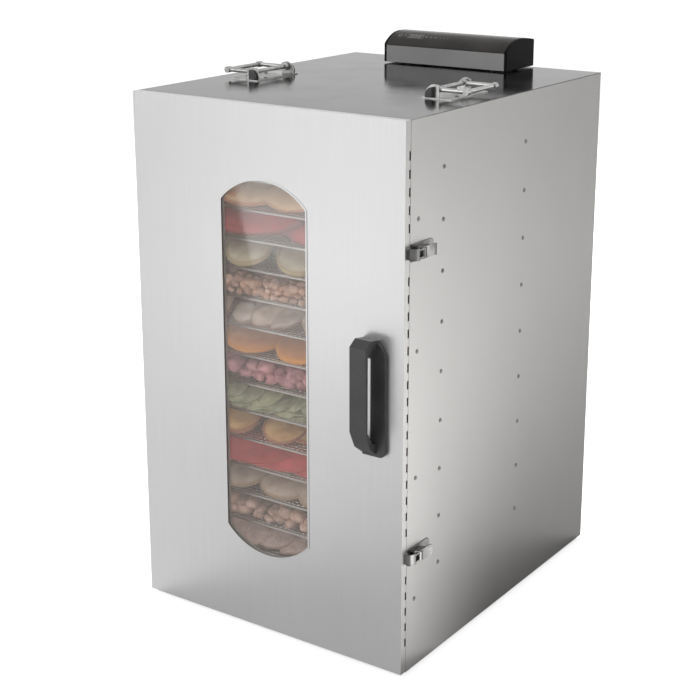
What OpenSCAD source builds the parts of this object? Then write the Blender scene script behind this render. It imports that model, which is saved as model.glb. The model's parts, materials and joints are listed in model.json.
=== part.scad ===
// Tall cabinet food dehydrator with sixteen trays, a windowed door and two rear fans.
// Origin on the floor under the middle; -Y is the door side, +Z is up. Millimetres.

/* [Cabinet] */
// Width across the side panels
cabinet_w = 430; // [400:1:500]
// Depth from the door face to the rear panel
cabinet_d = 520; // [500:1:620]
// Thickness of the folded steel sheets
sheet = 1; // [0.8:0.1:1.4]
// Height of the rubber feet
foot_h = 5; // [4:0.5:12]
// Diameter of the rubber feet
foot_d = 30; // [20:1:40]
// Distance from the cabinet's sides to the centre of each foot
foot_inset = 30; // [26:1:60]
// Gap between side panel and tray rack, filled by the rack posts
rack_standoff = 12; // [10:0.5:16]
// Height of the floor pan's and top panel's folded side flanges
flange_h = 14; // [10:1:20]

/* [Trays] */
// Height from one tray shelf to the next
tray_pitch = 40; // [38:0.5:48]
// Height of the lowest shelf above the floor
first_shelf = 62; // [58:1:80]
// Room above the highest shelf up to the top of the cabinet
top_room = 68; // [60:1:90]
// Width of each shelf that a tray slides on
shelf_w = 13; // [9:0.5:18]
// Thickness of each shelf
shelf_t = 1.2; // [1:0.1:2]
// Depth of a tray from front to back
tray_d = 380; // [340:1:385]
// Height of a tray's rim
tray_h = 4.5; // [4.5:0.5:14]
// Thickness of the tray's rim bars
tray_bar = 3; // [2:0.5:6]
// Gap between a tray and the rack on each side
tray_gap = 3; // [2:0.5:5]
// Diameter of the tray's rods
tray_rod = 2; // [1.6:0.2:3]
// Spacing of the tray's rods
tray_rod_pitch = 16; // [12:1:24]

/* [Door] */
// Depth of the door pan
door_depth = 11; // [9:0.5:16]
// Gap between the closed door and the cabinet
door_gap = 0.5; // [0.4:0.1:1]
// Vent notches along each side of the door
notch_count = 30; // [10:1:30]
// Spacing of the vent notches
notch_pitch = 22; // [18:0.5:22]
// Height of each vent notch
notch_h = 11; // [6:0.5:12]
// Depth of each vent notch into the door's edge
notch_d = 3; // [2:0.5:4]

/* [Window] */
// Width of the window
window_w = 135; // [100:1:180]
// Height of the window's lower corners above the floor
window_low = 147; // [120:1:200]
// Distance from the window's upper corners to the cabinet's top
window_top_margin = 127; // [100:1:200]
// Rise of the window's arched ends
window_rise = 30; // [20:1:40]
// Width of the raised rim around the window
window_rim = 2.5; // [1.5:0.5:5]
// Thickness of the window glass
glass_t = 4; // [3:0.5:4.5]
// Overlap of the glass behind the door sheet
glass_lap = 11; // [8:0.5:16]
// Thickness of the soft gasket behind the glass
gasket_t = 2; // [1.5:0.5:3]

/* [Door handle] */
// Distance from the door's latch side to the handle's base
handle_inset = 23; // [14:1:60]
// Height of the handle's middle above the door's middle
handle_rise = 11; // [-40:1:40]
// Width of the handle's base
handle_w = 34; // [32:1:50]
// Height of the handle's base
handle_h = 152; // [140:1:200]
// Thickness of the handle's base
handle_base_t = 6; // [5:0.5:8]
// Distance from the door to the front of the grip
handle_reach = 30; // [26:1:45]
// Width of the grip
grip_w = 24; // [16:1:24]
// Thickness of the grip
grip_t = 5; // [5:0.5:9]

/* [Hinges] */
// Length of each door hinge
hinge_l = 60; // [40:1:80]
// Distance from the cabinet's ends to the middle of each hinge
hinge_end = 165; // [100:1:250]
// Radius of the hinge knuckles
knuckle_r = 2.75; // [2.25:0.25:3.5]
// Radius of the hinge pins
hinge_pin_r = 1.5; // [1:0.25:1.75]

/* [Latches] */
// Height of the lower latch above the floor
latch_low = 167; // [100:1:250]
// Distance from the upper latch to the cabinet's top
latch_top_margin = 163; // [100:1:250]
// Height of each latch along the cabinet's edge
latch_h = 22; // [20:0.5:40]
// Length of the latch lever's plate
lever_l = 20; // [16:1:45]

/* [Fans and heating] */
// Diameter of the fan blades
fan_d = 150; // [120:1:170]
// Distance between the two fans' axes
fan_spacing = 334; // [260:1:360]
// Depth of the air duct behind the fan wall
duct_d = 105; // [100:1:120]
// Number of blades on each fan
blade_count = 7; // [3:1:9]
// Diameter of each motor
motor_d = 84; // [60:1:100]

/* [Control box] */
// Width of the control box
control_w = 210; // [170:1:260]
// Distance of the control box's middle to the right of the cabinet's middle
control_x = 1; // [-30:1:30]
// Depth of the control box
control_d = 83; // [60:1:90]
// Height of the control box's front face
control_front_h = 27; // [20:1:32]
// Height that the curved panel rises above the front face
control_rise = 16.5; // [8:0.5:22]
// Fall of the curved panel from its crest to the rear
control_fall = 4.5; // [2:0.5:8]
// Distance from the cabinet's rear to the control box
control_back = 1; // [1:1:30]

/* [Carry handles] */
// Distance from the cabinet's side to each handle's pivot
carry_inset = 67; // [55:1:90]
// Distance from the cabinet's front to the middle of each handle
carry_y = 210; // [120:1:260]
// Length of each bail between its uprights
bail_l = 78; // [70:1:110]
// Reach of each bail from its pivot
bail_reach = 46; // [34:1:50]
// Height of the bail's pivot above the top panel
bail_pivot_h = 11; // [11:0.5:18]

/* [Hidden] */
TRAY_COUNT = 16;
TRAYS = [for (i = [1 : TRAY_COUNT]) str("tray_", i < 10 ? "0" : "", i)];
$fn = 96;
eps = 0.01;

// Cabinet
side_x = cabinet_w / 2;
front_y = -250;
rear_y = front_y + cabinet_d;
shell_front = front_y + door_depth + door_gap;
base_z = foot_h;
top_z = first_shelf + (TRAY_COUNT - 1) * tray_pitch + top_room;
mid_z = (base_z + top_z) / 2;
inner_x = side_x - sheet;
liner_x = inner_x - rack_standoff;
liner_in = liner_x - sheet;
frame_flange = 26;
frame_lip = 10;
flange_front = shell_front + sheet + frame_flange + 1;
flange_rear = rear_y - sheet - 3;
chamber_low = first_shelf - 32;
chamber_high = top_z - 26;
fan_wall_y = rear_y - duct_d;

// Trays
tray_w = 2 * (liner_in - tray_gap);
tray_back = fan_wall_y - 10;
tray_front = tray_back - tray_d;

// Screws
screw_r = 1.75;
screw_head_r = 3.2;
screw_head_h = 1.4;
rack_screw_cols = [88, 297];
rack_screw_rows = 9;
rack_screw_end = [127, 68];
rack_screw_low = base_z + rack_screw_end[0];
rack_screw_high = top_z - rack_screw_end[1];
post_w = 16;
post_wall = 1.2;
frame_screw_col = 30;
frame_screw_rows = 4;
latch_high = top_z - latch_top_margin;
frame_screw_reach = [64, 40];
frame_screw_low = latch_low - frame_screw_reach[0];
frame_screw_high = latch_high + frame_screw_reach[1];

// Door
door_low = base_z + 1;
door_mid = (door_low + top_z) / 2;
door_back = front_y + door_depth;
arch_r = arc_r(window_w / 2, window_rise);
window_high = top_z - window_top_margin;
glass_back = front_y + sheet + glass_t;
retainer_lap = glass_lap + 9;

// Door handle
handle_x = side_x - handle_inset - handle_w;
handle_mid = door_mid + handle_rise;
handle_low = handle_mid - handle_h / 2;
handle_high = handle_mid + handle_h / 2;
handle_leg = 15;
handle_screw_l = handle_reach * 0.3;
grip_x = handle_x - 3;

// Hinges
hinge_x = -side_x - 3.2;
hinge_y = (door_back + shell_front) / 2;
hinge_clear = 0.4;
leaf_t = 1;
leaf_w = 20;
knuckle_l = hinge_l / 3;
leaf_x = -side_x - hinge_x;
pin_play = 0.08;

// Latch: u runs outward from the side panel, v rearward from the door's face
lever_pivot = [4.5, 21];
claw_pivot = [8.5, 29];
latch_pin_r = 1.5;
latch_base_t = 1.2;
latch_ear_t = 1.2;
latch_base_v = [14, 64];
latch_base_r = 6;
lever_t = 1.4;
latch_play = 0.4;
ear_z = latch_h / 2 - 2.5;
flange_z = ear_z - latch_ear_t / 2 - latch_play;
claw_z = flange_z - 1 - latch_play;
claw_arm_t = 2;
claw_eye_r = 2.8;
hook_c = [2.3, 14.3];
hook_r = 7.8;
hook_t = 1.5;
keeper_v = 6;

// Fans
guard_wire = 2.4;
guard_gap = 0.02;
guard_bars = 6;
guard_rail = 22;
fan_hole_r = fan_d / 2 + 8;
guard_pitch = fan_hole_r / guard_bars;
fan_y = fan_wall_y + 32;
blade_t = 1.5;
blade_w = 30;
blade_tilt = 35;
hub_r = 20;
hub_l = 18;
shaft_r = 4;
shaft_play = 0.05;
shaft_in = 22;
motor_l = 40;
heater_r = 4;
heater_ring_r = fan_hole_r + 12;

// Slots and probe
duct_slot = [12, 30];
duct_slot_rows = 12;
duct_slot_pitch = 50;
vent_slot = [4, 46];
vent_count = 10;
vent_pitch = 10;
probe_r = 3;
probe_x = liner_in - 51;

// Power inlet and rocker
inlet_x = -120;
inlet_z = 85;
inlet_w = 34;
inlet_h = 70;
inlet_flange = 2.5;
inlet_depth = 24;
socket_w = 24.4;
socket_h = 16.8;
socket_z = -14;
rocker_w = 13;
rocker_l = 20;
rocker_z = 17;
rocker_pivot_y = -3;
rocker_pin_r = 1.2;
rocker_tilt = 8;

// Control box
spacer_h = 2;
control_low = top_z + spacer_h;
control_edge = control_low + control_front_h;
control_top = control_edge + control_rise;
control_y1 = rear_y - control_back;
control_y0 = control_y1 - control_d;
control_wall = 2;
control_half = control_w / 2;
cap_t = 4;
crest = control_d * 0.48;
board_z = control_edge - 7;
crown_r = arc_r(crest, control_rise);
back_crown_r = arc_r(control_d - crest, control_fall);
rear_wall_h = control_top - control_fall - control_wall - control_low;
cable_hole = [8, 15];

// Carry handles
carry_mid_y = front_y + carry_y;
carry_x = side_x - carry_inset;
carry_half = bail_l / 2;
carry_plate_t = 1.5;
carry_plate_x = [-14, 30];
carry_plate_lap = 8;
carry_screw_x = [-9, 23];
carry_disc_c = [1, 4];
upright_t = 2;
upright_r = 13.5;
carry_block_r = 11;
carry_block_l = 6;
bail_r = 3;
eye_r = 5.5;
eye_l = 7;
corner_r = 4.4;
bail_gap = 0.5;
eye_y = carry_half - bail_gap - eye_l / 2;
carry_pin_r = 2.2;

// ---------------------------------------------------------------- helpers

// Radius of an arc that rises by a height over a length, level at its top
function arc_r(length, height) = (length * length + height * height) / 2 / height;

// Box between two corners
module block(low, high) {
    translate(low) cube(high - low);
}

// What rounding takes off a square corner at the origin that opens to plus x and y
module corner_2d(r) {
    difference() {
        translate([-1, -1]) square(r + 1);
        translate([r, r]) circle(r = r, $fn = 96);
    }
}

// Copies at plus and minus x
module both_sides() {
    children();
    mirror([1, 0, 0]) children();
}

// Copies at the two latch heights, in the latch's own frame
module at_latch(z) {
    translate([side_x, front_y, z]) children();
}

module at_latches() {
    at_latch(latch_low) children();
    at_latch(latch_high) children();
}

// Copies at the two fan axes, with local z along the axis towards the rear
module at_fan(z) {
    translate([0, 0, z]) rotate([-90, 0, 0]) children();
}

function fan_z(upper) = mid_z + (upper ? 1 : -1) * fan_spacing / 2;

module at_fans() {
    at_fan(fan_z(true)) children();
    at_fan(fan_z(false)) children();
}

// Screw with a domed head; local z points out of the panel, its seat at z = 0
module screw(length, shank_r = screw_r) {
    cylinder(r1 = screw_head_r, r2 = screw_head_r * 0.6, h = screw_head_h, $fn = 32);
    translate([0, 0, -length]) cylinder(r = shank_r, h = length + eps, $fn = 32);
}

// Local z pointing out of the right side panel at height z and depth y
module on_side(y, z) {
    translate([side_x, y, z]) rotate([0, 90, 0]) children();
}

module at_rack_screws() {
    step = (rack_screw_high - rack_screw_low) / (rack_screw_rows - 1);
    for (col = rack_screw_cols, row = [0 : rack_screw_rows - 1])
        on_side(front_y + col, rack_screw_low + row * step) children();
}

module at_frame_screws() {
    step = (frame_screw_high - frame_screw_low) / (frame_screw_rows - 1);
    for (row = [0 : frame_screw_rows - 1])
        on_side(front_y + frame_screw_col, frame_screw_low + row * step) children();
}

module side_screw_holes(length) {
    at_rack_screws()
        translate([0, 0, -length]) cylinder(r = screw_r, h = length + 1, $fn = 32);
    at_frame_screws()
        translate([0, 0, -length]) cylinder(r = screw_r, h = length + 1, $fn = 32);
}

// Copies at the four feet
module at_feet() {
    for (x = [-1, 1], y = [shell_front + foot_inset, rear_y - foot_inset])
        translate([x * (side_x - foot_inset), y, 0]) children();
}

// ---------------------------------------------------------------- cabinet

module base_pan() {
    color("silver") difference() {
        union() {
            block([-inner_x, shell_front, base_z], [inner_x, rear_y - sheet, base_z + sheet]);
            both_sides() block([inner_x - sheet, flange_front, base_z],
                               [inner_x, flange_rear, base_z + flange_h]);
        }
        at_feet() cylinder(r = screw_r, h = base_z + 5, $fn = 32);
    }
}

module side_panel() {
    difference() {
        union() {
            block([inner_x, shell_front, base_z], [side_x, rear_y - sheet, top_z - sheet]);
            block([inner_x - flange_h, rear_y - 2 * sheet, base_z + flange_h + 2],
                  [side_x, rear_y - sheet, top_z - flange_h - 4]);
        }
        side_screw_holes(sheet + 1);
    }
}

module side_panel_left() {
    color("gainsboro") mirror([1, 0, 0]) side_panel();
}

module side_panel_right() {
    color("gainsboro") side_panel();
}

module top_panel() {
    color("silver") difference() {
        union() {
            block([-side_x, shell_front, top_z - sheet], [side_x, rear_y, top_z]);
            both_sides() block([inner_x - sheet, flange_front, top_z - flange_h],
                               [inner_x, flange_rear, top_z - eps]);
        }
        at_carry_screws() translate([0, 0, -sheet - 1]) cylinder(r = screw_r, h = sheet + 2, $fn = 32);
        at_control_screws() translate([0, 0, -sheet - 1]) cylinder(r = screw_r, h = sheet + 2, $fn = 32);
        translate([control_x, control_y1 - cable_hole[1], top_z - sheet - 1])
            cylinder(r = cable_hole[0], h = sheet + 2);
    }
}

// Rear panel with louvre slots around the motors and the cut-out of the power inlet
module rear_panel() {
    color("silver") difference() {
        block([-side_x, rear_y - sheet, base_z], [side_x, rear_y, top_z - sheet]);
        for (upper = [false, true], x = [-1, 1], i = [0 : vent_count - 1])
            translate([x * (motor_d / 2 + 24 + i * vent_pitch), rear_y, fan_z(upper)])
                cube([vent_slot[0], 4 * sheet, vent_slot[1]], center = true);
        translate([inlet_x, rear_y, inlet_z])
            cube([inlet_w - 6, 4 * sheet, inlet_h - 6], center = true);
    }
}

// Frame around the cabinet's mouth, folded back along the sides and the opening
module front_frame() {
    color("silver") difference() {
        union() {
            block([-inner_x, shell_front, base_z + sheet],
                  [inner_x, shell_front + sheet, top_z - sheet]);
            both_sides() block([inner_x - sheet, shell_front, base_z + sheet],
                               [inner_x, flange_front - 1, top_z - sheet]);
            block([-liner_x - sheet, shell_front, chamber_low - sheet],
                  [liner_x + sheet, shell_front + sheet + frame_lip, chamber_high + sheet]);
        }
        block([-liner_x, shell_front - 1, chamber_low],
              [liner_x, flange_front, chamber_high]);
        both_sides() side_screw_holes(2 * sheet + 1);
    }
}

// Side liner with its shelves and the two posts that stand it off the side panel
module rack() {
    difference() {
        union() {
            block([liner_in, shell_front + sheet + 0.5, chamber_low],
                  [liner_x, fan_wall_y, chamber_high]);
            for (i = [0 : TRAY_COUNT - 1])
                block([liner_in - shelf_w, tray_front + 6, first_shelf + i * tray_pitch - shelf_t],
                      [liner_in + eps, fan_wall_y - 2, first_shelf + i * tray_pitch]);
            for (col = rack_screw_cols)
                rack_post(front_y + col);
        }
        side_screw_holes(rack_standoff);
    }
}

module rack_post(y) {
    difference() {
        block([liner_x - eps, y - post_w / 2, chamber_low + 10],
              [inner_x, y + post_w / 2, chamber_high - 5]);
        block([liner_x + post_wall, y - post_w / 2 + post_wall, chamber_low],
              [inner_x - post_wall, y + post_w / 2 - post_wall, chamber_high]);
    }
}

module rack_left() {
    color("lightgray") mirror([1, 0, 0]) rack();
}

module rack_right() {
    color("lightgray") rack();
}

// Wall between the chamber and the duct, folded forward into the chamber's roof and floor
module fan_wall() {
    color("lightgray") difference() {
        union() {
            block([-liner_x, fan_wall_y, chamber_low - sheet],
                  [liner_x, fan_wall_y + sheet, chamber_high + sheet]);
            for (z = [chamber_low - sheet, chamber_high])
                block([-liner_x, shell_front + sheet + frame_lip, z],
                      [liner_x, fan_wall_y + sheet, z + sheet]);
        }
        at_fans() translate([0, 0, fan_wall_y - 1]) cylinder(r = fan_hole_r, h = sheet + 2);
        for (x = [-1, 1], row = [0 : duct_slot_rows - 1])
            translate([x * (liner_in - 26), fan_wall_y, chamber_low + 60 + row * duct_slot_pitch])
                cube([duct_slot[0], 4 * sheet, duct_slot[1]], center = true);
        at_probe() translate([0, 0, -2]) cylinder(r = probe_r, h = 6, $fn = 32);
    }
}

module feet() {
    color("dimgray") at_feet() {
        cylinder(r1 = foot_d / 2 - 1, r2 = foot_d / 2, h = foot_h, $fn = 48);
        cylinder(r = screw_r, h = foot_h + sheet + 2, $fn = 32);
    }
}

module casing_screws() {
    color("darkgray") {
        both_sides() {
            at_rack_screws() screw(sheet + post_wall + 3);
            at_frame_screws() screw(2 * sheet + 3);
        }
        at_carry_screws() translate([0, 0, carry_plate_t]) screw(carry_plate_t + sheet + 3);
        at_control_screws() mirror([0, 0, 1]) translate([0, 0, sheet])
            screw(spacer_h + sheet + control_wall);
    }
}

// ---------------------------------------------------------------- air and heat

// Guards of upright bars that lie on two rails across each fan's hole
module fan_guards() {
    rail_l = 2 * (fan_hole_r + 9);
    bar_y = fan_wall_y - 2 * guard_wire - guard_gap;
    color("gray") at_fans() {
        for (s = [-1, 1])
            translate([-rail_l / 2, s * guard_rail - guard_wire / 2, fan_wall_y - guard_wire])
                cube([rail_l, guard_wire, guard_wire]);
        for (i = [-guard_bars : guard_bars]) {
            x = i * guard_pitch;
            bar_l = 2 * sqrt(pow(guard_bars * guard_pitch + 5, 2) - x * x);
            translate([x - guard_wire / 2, -bar_l / 2, bar_y])
                cube([guard_wire, bar_l, guard_wire]);
        }
    }
}

// Heating ring around each fan, on three clips and with two terminals
module heaters() {
    color("dimgray") at_fans() {
        translate([0, 0, fan_y]) rotate_extrude() translate([heater_ring_r, 0])
            circle(r = heater_r, $fn = 32);
        for (a = [30 : 120 : 270])
            rotate(a) translate([heater_ring_r - 5, -3, fan_wall_y + sheet])
                cube([10, 6, fan_y - fan_wall_y - sheet]);
        for (a = [84, 96])
            rotate(a) translate([heater_ring_r, 0, fan_y]) cylinder(r = 3, h = 40, $fn = 32);
    }
}

module motors() {
    color("slategray") at_fans() translate([0, 0, rear_y - sheet - motor_l]) difference() {
        union() {
            translate([0, 0, 4]) cylinder(r = motor_d / 2, h = motor_l - 4);
            cylinder(r = 12, h = 8);
            translate([-motor_d / 2 - 8, -8, motor_l - 3]) cube([motor_d + 16, 16, 3]);
        }
        translate([0, 0, -1]) cylinder(r = shaft_r + shaft_play, h = 25);
    }
}

// Axial fan with tilted blades on a hub and its shaft in the motor
module fan() {
    translate([0, 0, fan_y - hub_l / 2]) cylinder(r = hub_r, h = hub_l);
    for (i = [0 : blade_count - 1])
        rotate(i * 360 / blade_count) intersection() {
            translate([hub_r - 4, 0, fan_y]) rotate([blade_tilt, 0, 0])
                translate([0, -blade_w / 2, -blade_t / 2]) cube([fan_d / 2, blade_w, blade_t]);
            translate([0, 0, fan_y - blade_w]) cylinder(r = fan_d / 2, h = 2 * blade_w);
        }
    translate([0, 0, fan_y]) cylinder(r = shaft_r, h = rear_y - sheet - motor_l + shaft_in - fan_y);
}

module fan_upper() {
    color("lightslategray") at_fan(fan_z(true)) fan();
}

module fan_lower() {
    color("lightslategray") at_fan(fan_z(false)) fan();
}

// Short temperature probe through the fan wall
module at_probe() {
    translate([probe_x, fan_wall_y, mid_z]) rotate([-90, 0, 0]) children();
}

module temperature_probe() {
    color("silver") at_probe() {
        translate([0, 0, -6]) cylinder(r = probe_r, h = 24, $fn = 32);
        translate([0, 0, sheet]) cylinder(r = 8, h = 2, $fn = 32);
    }
}

// Power inlet with a rocker switch above it, in the rear panel
module power_inlet() {
    color("black") translate([inlet_x, rear_y, inlet_z]) {
        difference() {
            union() {
                block([-inlet_w / 2, 0, -inlet_h / 2], [inlet_w / 2, inlet_flange, inlet_h / 2]);
                block([3 - inlet_w / 2, -inlet_depth, 3 - inlet_h / 2],
                      [inlet_w / 2 - 3, eps, inlet_h / 2 - 3]);
            }
            block([-socket_w / 2, -inlet_depth + 3, socket_z - socket_h / 2],
                  [socket_w / 2, inlet_flange + 1, socket_z + socket_h / 2]);
            block([-rocker_w / 2 - 0.5, -12, rocker_z - rocker_l / 2 - 0.8],
                  [rocker_w / 2 + 0.5, inlet_flange + 1, rocker_z + rocker_l / 2 + 0.8]);
        }
        for (x = [-7, 0, 7])
            block([x - 1, -inlet_depth + 2, socket_z - 2 + (x == 0 ? 3 : -1)],
                  [x + 1, -5, socket_z + 2 + (x == 0 ? 3 : -1)]);
        both_sides() translate([rocker_w / 2 - 1.2, rocker_pivot_y, rocker_z]) rotate([0, 90, 0])
            cylinder(r = rocker_pin_r, h = 1.8, $fn = 32);
    }
}

// Rocker: two flats that meet in a shallow valley, tilted about a short cross pivot
module power_rocker() {
    half = rocker_l / 2 - 0.6;
    color("dimgray") translate([inlet_x, rear_y + rocker_pivot_y, inlet_z + rocker_z])
        rotate([rocker_tilt, 0, 0]) difference() {
            rotate([90, 0, 90]) translate([0, 0, 0.4 - rocker_w / 2]) linear_extrude(rocker_w - 0.8)
                polygon([[-3, -5], [-3, 5], [3.5, half], [7.4, half], [5.2, 0], [7.4, -half], [3.5, -half]]);
            both_sides() translate([rocker_w / 2 - 1.3, 0, 0]) rotate([0, 90, 0])
                cylinder(r = rocker_pin_r + pin_play, h = 2, $fn = 32);
        }
}

// ---------------------------------------------------------------- control box

// Section of the control box in depth and height, shrunk by an inset
module control_section(inset) {
    y0 = control_y0 + inset;
    y1 = control_y1 - inset;
    yc = control_y0 + crest;
    intersection() {
        translate([y0, control_low + inset])
            square([y1 - y0, control_top - inset - control_low - inset]);
        union() {
            translate([yc, control_top - crown_r]) circle(r = crown_r - inset, $fn = 200);
            intersection() {
                translate([yc, control_low]) square([control_d, control_top - control_low]);
                translate([yc, control_top - back_crown_r])
                    circle(r = back_crown_r - inset, $fn = 200);
            }
            translate([y0, control_low]) square([control_d, control_front_h - inset]);
        }
    }
}

// Section swept along the box's width
module control_sweep(x0, x1) {
    translate([control_x + x0, 0, 0]) rotate([90, 0, 90]) linear_extrude(x1 - x0) children();
}

module at_control_screws() {
    for (x = [-1, 1], y = [control_y0 + 8, control_y1 - 10])
        translate([control_x + x * (control_half - 26), y, top_z]) children();
}

module control_housing() {
    color("black") difference() {
        union() {
            control_sweep(cap_t - control_half, control_half - cap_t) {
                translate([control_y0 + control_wall, control_low])
                    square([control_d - control_wall, control_wall]);
                translate([control_y1 - control_wall, control_low])
                    square([control_wall, rear_wall_h]);
            }
            at_control_screws() cylinder(r = 4, h = spacer_h + eps, $fn = 32);
            at_control_screws() translate([0, 0, spacer_h])
                cylinder(r = 4, h = board_z - control_low, $fn = 32);
        }
        at_control_screws() translate([0, 0, -1]) cylinder(r = screw_r, h = spacer_h + 6, $fn = 32);
        translate([control_x, control_y1 - cable_hole[1], top_z])
            cylinder(r = cable_hole[0], h = spacer_h + control_wall + 1);
    }
}

module control_front_plate() {
    color("silver") control_sweep(cap_t - control_half, control_half - cap_t)
        translate([control_y0, control_low])
            square([control_wall, control_front_h - control_wall]);
}

module touch_panel() {
    color("black") control_sweep(cap_t - control_half, control_half - cap_t) difference() {
        control_section(0);
        control_section(control_wall);
        translate([control_y0 - 1, control_low - 1])
            square([control_d + 2, control_front_h - control_wall + 1]);
        translate([control_y1 - control_wall, control_low - 1])
            square([control_wall + 1, rear_wall_h + 1]);
    }
}

module control_end_caps() {
    color("black") {
        control_sweep(-control_half, cap_t - control_half) control_section(0);
        control_sweep(control_half - cap_t, control_half) control_section(0);
    }
}

// Board on the two rows of bosses, with a display block and a row of touch pads
module control_board() {
    board_t = 1.6;
    pad_top = control_top - control_wall - 3;
    color("darkgreen") {
        block([control_x - control_half + 14, control_y0 + 4, board_z],
              [control_x + control_half - 14, control_y1 - 5, board_z + board_t]);
        block([control_x - 60, control_y0 + crest - 14, board_z + board_t],
              [control_x - 20, control_y0 + crest + 6, pad_top]);
        for (i = [0 : 4])
            translate([control_x + i * 16, control_y0 + crest - 4, board_z + board_t])
                cylinder(r = 4, h = pad_top - board_z - board_t, $fn = 32);
    }
}

// ---------------------------------------------------------------- carry handles

// Local frame of the right handle: x outward from its pivot, z up from the top panel
module at_carry() {
    translate([carry_x, carry_mid_y, top_z]) children();
}

module at_carry_screws() {
    both_sides() at_carry() for (x = carry_screw_x, y = [-1, 1])
        translate([x, y * (carry_half - 18), 0]) children();
}

// Bar along the handle's length about its middle, at its pivot
module carry_bar(r, length) {
    rotate([90, 0, 0]) cylinder(r = r, h = length, center = true, $fn = 48);
}

// Copies at the handle's two ends, the near one mirrored, with a section's depth along y
module at_carry_ends(y, length) {
    for (s = [0, 1]) mirror([0, s, 0])
        translate([0, y + length, 0]) rotate([90, 0, 0]) linear_extrude(length) children();
}

// Disc about the uprights' middle, cut off to the right and below
module carry_disc(r, right, low) {
    intersection() {
        translate(carry_disc_c) circle(r = r, $fn = 64);
        translate([carry_disc_c[0] - r, low]) square([right - carry_disc_c[0] + r, 2 * r]);
    }
}

// Base plates with two uprights and the pivot bar across them
module carry_plates() {
    color("gainsboro") both_sides() difference() {
        at_carry() {
            block([carry_plate_x[0], -carry_half - carry_plate_lap, 0],
                  [carry_plate_x[1], carry_half + carry_plate_lap, carry_plate_t]);
            at_carry_ends(carry_half, upright_t) {
                carry_disc(upright_r, bail_pivot_h - 3, 0);
                translate([0, bail_pivot_h]) circle(r = eye_r + 1.5, $fn = 48);
            }
            translate([0, 0, bail_pivot_h]) {
                carry_bar(carry_pin_r, bail_l + upright_t);
                carry_bar(bail_r, 2 * (eye_y - eye_l / 2 - bail_gap));
            }
        }
        at_carry_screws() translate([0, 0, -1]) cylinder(r = screw_r, h = carry_plate_t + 2, $fn = 32);
    }
}

// D-shaped stops on the outer faces of the uprights, rounded towards the cabinet's middle
module carry_blocks() {
    color("black") both_sides() at_carry() at_carry_ends(carry_half + upright_t, carry_block_l)
        carry_disc(carry_block_r, carry_disc_c[0], carry_plate_t);
}

// Round steel bail lying outward from its pivot, with an eye and a knuckle on each arm
module carry_bail() {
    at_carry() translate([0, 0, bail_pivot_h]) difference() {
        union() {
            for (s = [-1, 1]) translate([0, s * eye_y, 0]) {
                carry_bar(eye_r, eye_l);
                rotate([0, 90, 0]) cylinder(r = bail_r, h = bail_reach, $fn = 48);
                translate([bail_reach, 0, 0]) carry_bar(corner_r, eye_l + 1);
            }
            translate([bail_reach, 0, 0]) carry_bar(bail_r, 2 * eye_y);
        }
        carry_bar(carry_pin_r + pin_play, bail_l);
    }
}

module carry_bail_left() {
    color("lightgray") mirror([1, 0, 0]) carry_bail();
}

module carry_bail_right() {
    color("lightgray") carry_bail();
}

// ---------------------------------------------------------------- latches

// Slab between two heights, the same above and below the latch's middle
module mirrored_slab(z0, z1) {
    for (s = [0, 1]) mirror([0, 0, s]) translate([0, 0, z0]) linear_extrude(z1 - z0) children();
}

module latch_bases() {
    r = latch_base_r;
    v0 = latch_base_v[0];
    v1 = latch_base_v[1];
    color("silver") at_latches() {
        rotate([0, 90, 0]) linear_extrude(latch_base_t) {
            translate([-latch_h / 2, v0]) square([latch_h, v1 - v0 - r]);
            translate([r - latch_h / 2, v0]) square([latch_h - 2 * r, v1 - v0]);
            for (s = [-1, 1]) translate([s * (latch_h / 2 - r), v1 - r]) circle(r = r, $fn = 48);
        }
        mirrored_slab(ear_z - latch_ear_t / 2, ear_z + latch_ear_t / 2) difference() {
            union() {
                translate([0, lever_pivot[1] - 4]) square([lever_pivot[0], 8]);
                translate(lever_pivot) circle(r = 4, $fn = 48);
            }
            translate(lever_pivot) circle(r = latch_pin_r, $fn = 48);
        }
    }
}

// Fixed pins in the ears, each with a sleeve between the claw's arms
module latch_pins() {
    sleeve_z = claw_z - claw_arm_t - latch_play;
    color("gray") at_latches() translate([lever_pivot[0], lever_pivot[1], 0]) {
        translate([0, 0, -ear_z - 1.4]) cylinder(r = latch_pin_r, h = 2 * ear_z + 2.8, $fn = 48);
        translate([0, 0, -sleeve_z]) cylinder(r = 3, h = 2 * sleeve_z, $fn = 48);
    }
}

// Lever with a flat plate, two side flanges on the fixed pin and its own pin for the claw
module latch_lever() {
    plate_u = 9;
    plate_v = claw_pivot[1] + 4;
    plate_end = plate_v + lever_l;
    tip_l = 5;
    tip_rise = 2.2;
    mirrored_slab(flange_z - 1, flange_z) difference() {
        union() {
            translate(lever_pivot) circle(r = 3, $fn = 48);
            polygon([[lever_pivot[0] - 3, lever_pivot[1]], [lever_pivot[0] - 3, plate_v + 4],
                     [plate_u + 0.5, plate_v + lever_l * 0.6], [plate_u + lever_t, plate_v],
                     [plate_u + lever_t, claw_pivot[1] - 3], [lever_pivot[0] + 3, lever_pivot[1]]]);
        }
        translate(lever_pivot) circle(r = latch_pin_r + pin_play, $fn = 48);
    }
    translate([0, 0, -flange_z]) linear_extrude(2 * flange_z)
        translate(claw_pivot) circle(r = latch_pin_r, $fn = 48);
    translate([0, 0, -flange_z]) linear_extrude(2 * flange_z)
        polygon([[plate_u, plate_v], [plate_u, plate_end - tip_l], [plate_u + tip_rise, plate_end],
                 [plate_u + tip_rise + lever_t, plate_end],
                 [plate_u + lever_t, plate_end - tip_l], [plate_u + lever_t, plate_v]]);
}

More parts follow.
